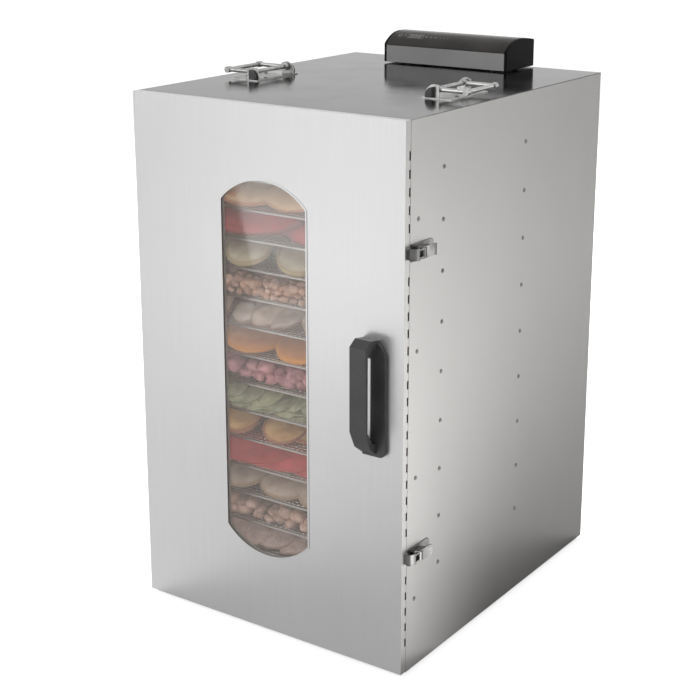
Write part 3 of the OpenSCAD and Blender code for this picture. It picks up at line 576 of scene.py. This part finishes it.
def lump(rng, size, rough):
    """A rounded, dented chunk."""
    bm = bmesh.new()
    bmesh.ops.create_icosphere(bm, subdivisions=2, radius=1)
    seed = noise_seed(rng)
    stretch = (1.0, rng.uniform(0.65, 0.9), rng.uniform(0.5, 0.7))
    verts = []
    for v in bm.verts:
        swell = 1 + noise.noise(v.co * 1.3 + seed) * rough
        verts.append(tuple(v.co[i] * stretch[i] * size * swell for i in range(3)))
    bm.verts.index_update()
    faces = [tuple(v.index for v in f.verts) for f in bm.faces]
    bm.free()
    return verts, faces, [0.5] * len(verts)


# Outlines of slices in polar form: the reach at an angle, as a share of the slice's size

def round_outline(a):
    return 1.0


def pear_outline(a):
    return 0.78 + 0.22 * math.cos(a) - 0.12 * math.cos(2 * a)


def half_outline(a):
    return 1.0 if math.sin(a) > 0 else 1.0 / (1 + 2.2 * abs(math.sin(a)))


def mushroom_outline(a):
    cap = 0.62 + 0.34 * math.sin(a) ** 2 * (1 if math.sin(a) < 0 else 0.6)
    stem = 0.42 * math.exp(-((a - math.pi / 2) / 0.28) ** 2)
    return cap + stem


def strip_outline(a):
    return 1 / math.hypot(math.cos(a), 3.6 * math.sin(a))


def leaf_outline(a):
    return 0.30 + 0.7 * abs(math.cos(a)) ** 2.2


FOOD_BASE = 3.8 * MM      # height of the tray's mesh above the tray's base
FOOD_ROOM = 34 * MM       # most that the food rises above the mesh
FOOD_INSET = 3.6 * MM     # from the tray's outline to the inside of its rim
ROW_LIFT = 1.2 * MM       # every other row lies this much higher
STRAY = 0.14              # how far a piece strays from its place, as a share of the step
LEAN = 6                  # most that it leans sideways, in degrees
FOOD_SEED = 100


def plan(step_x, step_y, reach, tilt, spin=True, layers=1, rise=0):
    """How pieces are laid, in mm and degrees: steps, distance to the rim, tilt and layers."""
    return {"step_x": step_x * MM, "step_y": step_y * MM, "reach": reach * MM, "tilt": tilt,
            "spin": spin, "layers": layers, "rise": rise * MM}


def turned(rng, points, tilt, spin):
    """Points of a piece that leans back and is turned about its own middle."""
    about = rng.uniform(0, 2 * math.pi) if spin else rng.gauss(0, 0.1)
    turn = (Matrix.Rotation(math.radians(rng.uniform(tilt * 0.7, tilt)), 3, "X")
            @ Matrix.Rotation(math.radians(rng.uniform(-LEAN, LEAN)), 3, "Y")
            @ Matrix.Rotation(about, 3, "Z"))
    return [turn @ Vector(point) for point in points]


def lay_food(name, tray, material, shape, laid, seed):
    """Lays pieces over the whole tray in staggered rows that lean on each other, up to its rim."""
    rng = random.Random(seed)
    low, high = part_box(tray)
    floor = low.z + FOOD_BASE
    inner = [(low[k] + FOOD_INSET, high[k] - FOOD_INSET) for k in (0, 1)]
    step_x, step_y, reach = laid["step_x"], laid["step_y"], laid["reach"]
    verts, faces, place = [], [], []
    for layer in range(laid["layers"]):
        y = low.y + reach
        row = layer
        while y < high.y - reach:
            x = low.x + reach + (row % 2) * step_x / 2
            while x < high.x - reach * 0.6:
                points, piece, share = shape(rng)
                points = turned(rng, points, laid["tilt"], laid["spin"])
                base = floor + (row % 2) * ROW_LIFT + layer * laid["rise"]
                bottom = min(q.z for q in points)
                tall = max(q.z for q in points) - bottom
                squash = min(1.0, (floor + FOOD_ROOM - base) / tall)
                centre = [x + rng.uniform(-STRAY, STRAY) * step_x,
                          y + rng.uniform(-STRAY, STRAY) * step_y]
                for k in (0, 1):
                    least = centre[k] + min(q[k] for q in points)
                    most = centre[k] + max(q[k] for q in points)
                    centre[k] += max(0, inner[k][0] - least) - max(0, most - inner[k][1])
                offset = len(verts)
                verts.extend((centre[0] + q.x, centre[1] + q.y, base + (q.z - bottom) * squash)
                             for q in points)
                faces.extend(tuple(i + offset for i in face) for face in piece)
                place.extend(share)
                x += step_x
            y += step_y
            row += 1
    mesh = bpy.data.meshes.new(name)
    mesh.from_pydata(verts, [], faces)
    mesh.attributes.new("place", "FLOAT", "POINT").data.foreach_set("value", place)
    mesh.materials.append(material)
    make_object(name, mesh, "cabinet", smooth=60)


def slices(outline, size, thick, curl, rough=2):
    """A maker of slices, sizes in mm."""
    def shape(rng):
        reach = size * MM * rng.uniform(0.9, 1.1)
        return disc(rng, outline, reach, thick * MM, curl * MM * rng.uniform(0.3, 1), rough * MM)
    return shape


def chunks(size, rough=0.5):
    """A maker of chunks, size in mm."""
    def shape(rng):
        return lump(rng, size * MM * rng.uniform(0.75, 1.25), rough)
    return shape


def make_food():
    """Dried fruit, vegetables and meat on every tray."""
    peach = food("food_peach", (0.55, 0.33, 0.17), (0.80, 0.58, 0.34), 0.5, 60, (0.50, 0.24, 0.12))
    beef = food("food_beef", (0.26, 0.02, 0.025), (0.52, 0.08, 0.08), 0.45, 70,
                (0.16, 0.02, 0.02), 0.35)
    pear = food("food_pear", (0.58, 0.51, 0.36), (0.80, 0.74, 0.58), 0.55, 50, (0.45, 0.36, 0.20))
    nuts = food("food_nuts", (0.28, 0.15, 0.10), (0.58, 0.38, 0.29), 0.6, 140)
    mushroom = food("food_mushroom", (0.26, 0.19, 0.15), (0.56, 0.47, 0.40), 0.6, 60,
                    (0.24, 0.16, 0.12))
    orange = food("food_orange", (0.60, 0.22, 0.07), (0.80, 0.38, 0.17), 0.45, 60,
                  (0.72, 0.30, 0.06), 0.35)
    plum = food("food_plum", (0.24, 0.08, 0.10), (0.58, 0.30, 0.32), 0.5, 90, None, 0.3)
    greens = food("food_greens", (0.17, 0.19, 0.10), (0.36, 0.38, 0.25), 0.55, 90)
    sweet = food("food_sweet", (0.46, 0.24, 0.08), (0.72, 0.46, 0.20), 0.5, 60, (0.34, 0.14, 0.06))
    pepper = food("food_pepper", (0.28, 0.015, 0.02), (0.52, 0.06, 0.065), 0.4, 50,
                  (0.36, 0.04, 0.036), 0.4)
    apple = food("food_apple", (0.40, 0.31, 0.24), (0.60, 0.50, 0.41), 0.6, 55, (0.36, 0.26, 0.16))
    chunk = food("food_chunk", (0.24, 0.14, 0.10), (0.50, 0.34, 0.27), 0.6, 110)
    pink = food("food_pink", (0.28, 0.19, 0.16), (0.50, 0.38, 0.33), 0.6, 80, (0.30, 0.20, 0.16))
    # From the top tray down
    rows = (
        (pear, slices(round_outline, 34, 4, 5), plan(52, 34, 30, 24)),
        (apple, slices(pear_outline, 40, 4, 6), plan(56, 34, 34, 26)),
        (peach, slices(half_outline, 62, 9, 5), plan(92, 30, 30, 34, spin=False)),
        (beef, slices(strip_outline, 96, 7, 5, 3), plan(132, 26, 22, 46, spin=False)),
        (pear, slices(pear_outline, 54, 8, 7), plan(84, 34, 44, 26)),
        (nuts, chunks(9), plan(15, 14, 9, 0, layers=3, rise=7)),
        (mushroom, slices(mushroom_outline, 27, 6, 4), plan(36, 24, 22, 38)),
        (orange, slices(round_outline, 46, 10, 4), plan(84, 36, 40, 26)),
        (plum, chunks(15), plan(24, 22, 14, 0, layers=2, rise=9)),
        (greens, slices(leaf_outline, 48, 3, 12, 6),
         plan(26, 15, 22, 40, spin=False, layers=2, rise=5)),
        (sweet, slices(pear_outline, 52, 9, 8), plan(74, 32, 42, 28)),
        (pepper, slices(strip_outline, 96, 7, 8, 4), plan(128, 26, 22, 46, spin=False)),
        (apple, slices(round_outline, 44, 8, 7), plan(70, 34, 38, 28)),
        (chunk, chunks(12, 0.35), plan(20, 19, 12, 0, layers=2, rise=9)),
        (pink, slices(mushroom_outline, 30, 7, 5), plan(40, 26, 24, 38)),
        (chunk, slices(pear_outline, 34, 6, 5), plan(52, 32, 30, 30)),
    )
    for i, (tray, (material, shape, laid)) in enumerate(zip(reversed(TRAYS), rows)):
        lay_food("food_on_" + tray, tray, material, shape, laid, FOOD_SEED + i)


# ---------------------------------------------------------------- marks on the control box

KEY_LINE = 0.7          # width of a printed line in mm
KEY_PLACE = (14, 17)    # first symbol, in mm from the panel's left and front
KEY_RISE = 0.12         # how far the print stands above the panel in mm
KEY_SINK = -0.1         # and where its underside lies
DIGIT = (3.6, 2.4)      # width and half height of a digit in mm
ARC_PARTS = 14


def stroke(bm, points, drop):
    """A closed printed line through points (x, y), laid on the surface that drop finds."""
    corners = ((-1, KEY_SINK), (-1, KEY_RISE), (1, KEY_RISE), (1, KEY_SINK))
    rows = []
    for i, (x, y) in enumerate(points):
        before, after = points[max(i - 1, 0)], points[min(i + 1, len(points) - 1)]
        along = Vector((after[0] - before[0], after[1] - before[1])).normalized()
        side = Vector((-along.y, along.x)) * KEY_LINE / 2
        row = []
        for sign, height in corners:
            place, normal = drop(x + side.x * sign, y + side.y * sign)
            row.append(bm.verts.new(place + normal * height * MM))
        rows.append(row)
    for first, second in zip(rows, rows[1:]):
        for k in range(4):
            bm.faces.new((first[k], first[(k + 1) % 4], second[(k + 1) % 4], second[k]))
    bm.faces.new(rows[0])
    bm.faces.new(reversed(rows[-1]))


def line(x0, y0, x1, y1, parts=4):
    return [(x0 + (x1 - x0) * i / parts, y0 + (y1 - y0) * i / parts) for i in range(parts + 1)]


def arc(x, y, radius, start, end):
    turns = [math.radians(start + (end - start) * i / ARC_PARTS) for i in range(ARC_PARTS + 1)]
    return [(x + radius * math.cos(a), y + radius * math.sin(a)) for a in turns]


def key_lines():
    """Generic symbols in mm: power, less, a framed reading, more, up, down and three lamps."""
    rows = [arc(0, 0, 2.6, 120, 420), line(0, 1, 0, 4)]
    rows += [line(7, 0, 11, 0), line(44, 0, 48, 0), line(46, -2, 46, 2)]
    rows += [line(15, -4, 15, 4), line(40, -4, 40, 4)]
    rows += [line(15, 4, 40, 4, 10), line(15, -4, 40, -4, 10)]
    width, half = DIGIT
    for x in (19, 25.5, 32):
        rows += [line(x, -half, x, half), line(x + width, -half, x + width, half)]
        rows += [line(x, y, x + width, y) for y in (-half, 0, half)]
    for x, way in ((54, 1), (62, -1)):
        rows += [line(x - 2, -way, x, way), line(x, way, x + 2, -way)]
    rows += [line(x, 0, x + 1.6, 0, 1) for x in (70, 76, 82)]
    return rows


def make_key_marks():
    """The symbols as thin print on the curved touch panel."""
    panel = nodes["touch_panel"].data
    corners = [v.co for v in panel.vertices]
    tree = BVHTree.FromPolygons(corners, [tuple(f.vertices) for f in panel.polygons])
    low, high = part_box("touch_panel")
    left, front = low.x + KEY_PLACE[0] * MM, low.y + KEY_PLACE[1] * MM
    above = high.z + 20 * MM

    def drop(u, v):
        start = Vector((left + u * MM, front + v * MM, above))
        place, normal, _, _ = tree.ray_cast(start, Vector((0, 0, -1)))
        return place, normal

    bm = bmesh.new()
    for points in key_lines():
        stroke(bm, points, drop)
    bmesh.ops.recalc_face_normals(bm, faces=bm.faces)
    marks = make_object("key_marks", mesh_from(bm, "key_marks"), "cabinet")
    marks.data.materials.append(painted("key_print", (0.34, 0.34, 0.33), 0.5))


# ---------------------------------------------------------------- stage and light

def area_light(name, place, aim, size, power, colour=(1, 1, 1)):
    """A rectangular lamp that the camera doesn't see, size in metres and power in watts."""
    data = bpy.data.lights.new(name, "AREA")
    data.shape = "RECTANGLE"
    data.size, data.size_y = size
    data.energy = power
    data.color = colour
    light = bpy.data.objects.new(name, data)
    scene.collection.objects.link(light)
    light.location = place
    light.rotation_euler = (Vector(aim) - Vector(place)).to_track_quat("-Z", "Y").to_euler()
    light.visible_camera = False
    return light


def seen_directly(tree, mirrored=1.0):
    """A value that is 1 for camera rays and the given number for glossy and transmission rays."""
    path = tree.nodes.new("ShaderNodeLightPath")
    total = path.outputs["Is Camera Ray"]
    for name in ("Is Glossy Ray", "Is Transmission Ray"):
        share = tree.nodes.new("ShaderNodeMath")
        share.operation = "MULTIPLY"
        share.inputs[1].default_value = mirrored
        tree.links.new(path.outputs[name], share.inputs[0])
        most = tree.nodes.new("ShaderNodeMath")
        most.operation = "MAXIMUM"
        tree.links.new(total, most.inputs[0])
        tree.links.new(share.outputs[0], most.inputs[1])
        total = most.outputs[0]
    return total


WORLD_LIGHT = 0.42      # the world's strength for the object; the camera and mirrors see 1
FLOOR_HALF = 12         # half the floor's width in metres
FLOOR_GLOW = 0.7        # what the floor adds for the camera, so that it comes out white
FLOOR_MIRRORED = 0.2    # share of it that mirrors see


def make_world():
    """White for the camera, mirrors and glass, and a plain level of light on the object."""
    world = bpy.data.worlds.new("world")
    scene.world = world
    world.use_nodes = True
    tree = world.node_tree
    background = tree.nodes["Background"]
    background.inputs["Color"].default_value = (1, 1, 1, 1)
    span = tree.nodes.new("ShaderNodeMapRange")
    span.inputs["To Min"].default_value = WORLD_LIGHT
    span.inputs["To Max"].default_value = 1.0
    tree.links.new(seen_directly(tree), span.inputs["Value"])
    tree.links.new(span.outputs["Result"], background.inputs["Strength"])


def stage_mesh(name, corners, material):
    """A flat face of the stage."""
    bm = bmesh.new()
    bm.faces.new([bm.verts.new(Vector(c)) for c in corners])
    obj = bpy.data.objects.new(name, mesh_from(bm, name))
    scene.collection.objects.link(obj)
    obj.data.materials.append(material)
    return obj


def make_floor():
    """A floor that comes out white for the camera, with the object's shadow on it."""
    s = Shader("floor")
    grain = s.noise(3, 3.0)
    tone = s.ramp(grain, "Fac", ((0.3, (0.86, 0.86, 0.86)), (0.7, (0.88, 0.88, 0.88))))
    s.colour(tone, "Color")
    s.set(Roughness=0.9, Specular_IOR_Level=0.0)
    s.surface.inputs["Emission Color"].default_value = (1, 1, 1, 1)
    glow = s.add("ShaderNodeMath", operation="MULTIPLY")
    s.tree.links.new(seen_directly(s.tree, FLOOR_MIRRORED), glow.inputs[0])
    glow.inputs[1].default_value = FLOOR_GLOW
    s.link(glow, "Value", s.surface, "Emission Strength")
    half = FLOOR_HALF
    corners = ((-half, -half, 0), (half, -half, 0), (half, half, 0), (-half, half, 0))
    stage_mesh("floor", corners, s.material)


def smooth_ramp(s, start, end):
    """A map range with soft ends, from start to end, that rises from 0."""
    ramp = s.add("ShaderNodeMapRange", interpolation_type="SMOOTHSTEP")
    ramp.inputs["From Min"].default_value = start
    ramp.inputs["From Max"].default_value = end
    return ramp


def make_card(name, centre, turn, corners, fade, strength, rise=None, tone=0.8):
    """A card just above the floor that only mirrors show.

    Its light grows over the range fade of its own x, and over the range rise of its own y.
    """
    s = Shader(name)
    s.set(Roughness=0.9)
    s.surface.inputs["Base Color"].default_value = (tone, tone, tone, 1)
    s.surface.inputs["Emission Color"].default_value = (1, 1, 1, 1)
    split = s.add("ShaderNodeSeparateXYZ")
    s.link(s.coords(), "Vector", split, "Vector")
    glow = smooth_ramp(s, *fade)
    glow.inputs["To Max"].default_value = strength
    s.link(split, "X", glow, "Value")
    if rise:
        across, glow = glow, smooth_ramp(s, *rise)
        s.link(split, "Y", glow, "Value")
        s.link(across, "Result", glow, "To Max")
    s.link(glow, "Result", s.surface, "Emission Strength")
    card = stage_mesh(name, [(x, y, 0) for x, y in corners], s.material)
    card.location = (*centre, 3 * MM)
    card.rotation_euler.z = math.radians(turn)
    card.visible_camera = False
    card.visible_diffuse = False
    card.visible_shadow = False


def make_cards():
    """Cards in metres and degrees: a haze on the window, and brighter fronts of door and side."""
    make_card("window_card", (-1.64, -2.27), 234,
              ((-0.95, 0.065), (0.6, -0.085), (0.6, 0.55), (-0.95, 0.45)), (-0.95, -0.35), 3.0)
    make_card("front_card", (-0.68, -1.55), 250,
              ((-0.5, -0.35), (0.5, -0.35), (0.5, 0.35), (-0.5, 0.35)), (-0.5, 0), 1.7)
    make_card("side_card", (1.0, 1.0), -32,
              ((-0.62, -1.0), (0.1, -1.5), (0.5, -1.45), (0.5, 3.4), (-0.62, 3.4)),
              (-0.14, 0.36), 5.4, (-4.2, -0.8), 0.62)


def make_lights():
    """Soft lamps behind, in front and at the side, and a weak one for the food."""
    back = area_light("back", (-1.5, 2.1, 2.0), (0, 0, 0), (1.5, 1.5), 95)
    back.visible_glossy = False
    area_light("key", (-1.35, -2.3, 1.4), (0, -0.25, 0.5), (1.4, 1.2), 14.5)
    area_light("side", (1.8, 1.9, 1.0), (0.215, 0, 0.5), (1.0, 0.9), 3, colour=(1.0, 0.99, 0.975))
    inside = area_light("inside", (0, -0.2375, 0.375), (0, 0.1, 0.375), (0.30, 0.55), 0.55)
    inside.visible_glossy = False
    inside.visible_transmission = False


# ---------------------------------------------------------------- build

make_camera()
make_world()
make_floor()
make_cards()
make_lights()

# How far the edges of each of these nodes are eased, in mm
EASE = {
    "door_panel": 0.4, "top_panel": 0.35, "side_panel_left": 0.35, "side_panel_right": 0.35,
    "rear_panel": 0.3, "front_frame": 0.3, "door_handle": 1.6, "control_front_plate": 0.5,
    "touch_panel": 0.5, "control_end_caps": 0.8, "control_housing": 0.4,
    "carry_plates": 0.5, "carry_blocks": 1.0, "carry_bail_left": 0.8, "carry_bail_right": 0.8,
    "latch_bases": 0.35, "latch_lever_upper": 0.35, "latch_lever_lower": 0.35,
    "latch_claw_upper": 0.35, "latch_claw_lower": 0.35, "latch_keepers": 0.25,
    "power_inlet": 0.6, "power_rocker": 0.4, "window_retainer": 0.25, "motors": 1.0, "feet": 0.6,
}
for node, width in EASE.items():
    eased(node, width)
make_trays()
make_food()
make_key_marks()

scene.view_settings.view_transform = "Standard"
